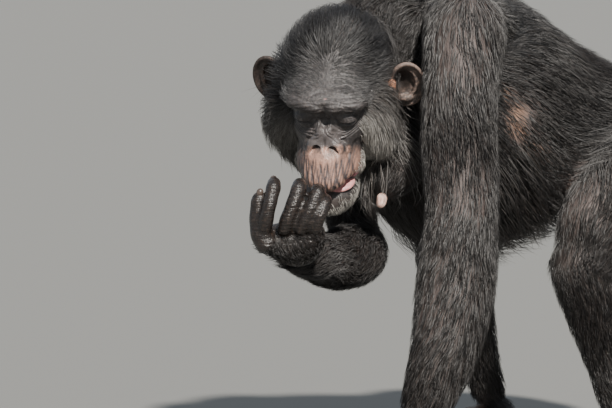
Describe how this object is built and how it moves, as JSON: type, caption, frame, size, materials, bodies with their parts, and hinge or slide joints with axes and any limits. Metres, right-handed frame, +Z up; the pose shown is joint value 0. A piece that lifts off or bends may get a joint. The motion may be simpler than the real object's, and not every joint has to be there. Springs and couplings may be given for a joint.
{
  "type": "chimpanzee",
  "caption": "Life-size still model of an adult chimpanzee standing on both feet and one hand's knuckles, its other hand raised to its lowered face.",
  "frame": {"origin": "centre of the model's footprint box, on the floor that the soles and knuckles rest on", "axes": "+Z up; +Y from the head to the rump along the body; +X to the animal's left; the animal faces -Y with its head turned to +X"},
  "size_m": [0.4614, 0.805, 0.6498],
  "materials": {
    "coat": "long glossy black hair with grey hairs among it, skin showing where it is thin",
    "skin": "bare wrinkled black-brown skin, glossy on the knuckles",
    "ear": "thin bare brown skin with paler edges",
    "eye": "wet dark brown",
    "mouth": "wet pink",
    "nipple": "bare pale pink skin"
  },
  "bodies": {
    "root": {"belly": "coat", "big_toe_left": "skin", "big_toe_right": "skin", "chest": "coat", "ear_left": "ear", "ear_right": "ear", "eye_left": "eye", "eye_right": "eye", "foot_left": "skin", "foot_right": "skin", "forearm_left": "coat", "forearm_right": "coat", "head": "coat", "index_finger_left": "skin", "index_finger_right": "skin", "little_finger_left": "skin", "little_finger_right": "skin", "middle_finger_left": "skin", "middle_finger_right": "skin", "neck": "coat", "nipple_left": "nipple", "nipple_right": "nipple", "palm_left": "skin", "palm_right": "skin", "pelvis": "coat", "ring_finger_left": "skin", "ring_finger_right": "skin", "shank_left": "coat", "shank_right": "coat", "thigh_left": "coat", "thigh_right": "coat", "thumb_left": "skin", "thumb_right": "skin", "tongue": "mouth", "upper_arm_left": "coat", "upper_arm_right": "coat"}
  },
  "joints": []
}
